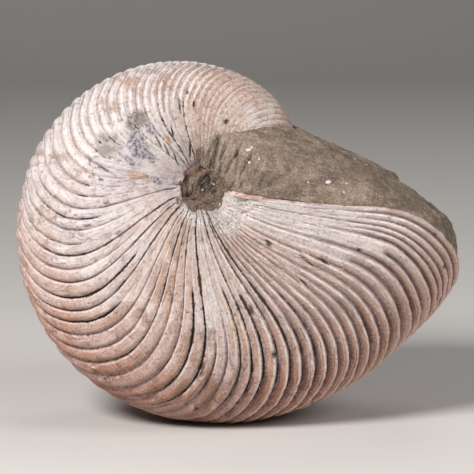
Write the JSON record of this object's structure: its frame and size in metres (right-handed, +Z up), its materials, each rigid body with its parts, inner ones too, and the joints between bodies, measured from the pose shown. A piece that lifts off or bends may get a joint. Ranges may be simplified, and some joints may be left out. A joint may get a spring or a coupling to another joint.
{
  "type": "fossil nautiloid",
  "caption": "Coiled fossil nautiloid shell with sinuous growth ribs, its open mouth and navels filled with stone.",
  "frame": {"origin": "middle of the bounding box's base, on the surface that the fossil rests on", "axes": "+X from the oldest side of the coil towards the mouth, +Y through the navels, away from the flank that faces the viewer, +Z up"},
  "size_m": [0.1486, 0.0976, 0.1227],
  "materials": {
    "shell": "matte fossil shell, pale pink to tan, with darker grooves",
    "stone": "rough olive-grey sandstone with specks of shell"
  },
  "bodies": {
    "root": {"ribbed_shell": "shell", "stone_fill": "stone"}
  },
  "joints": []
}
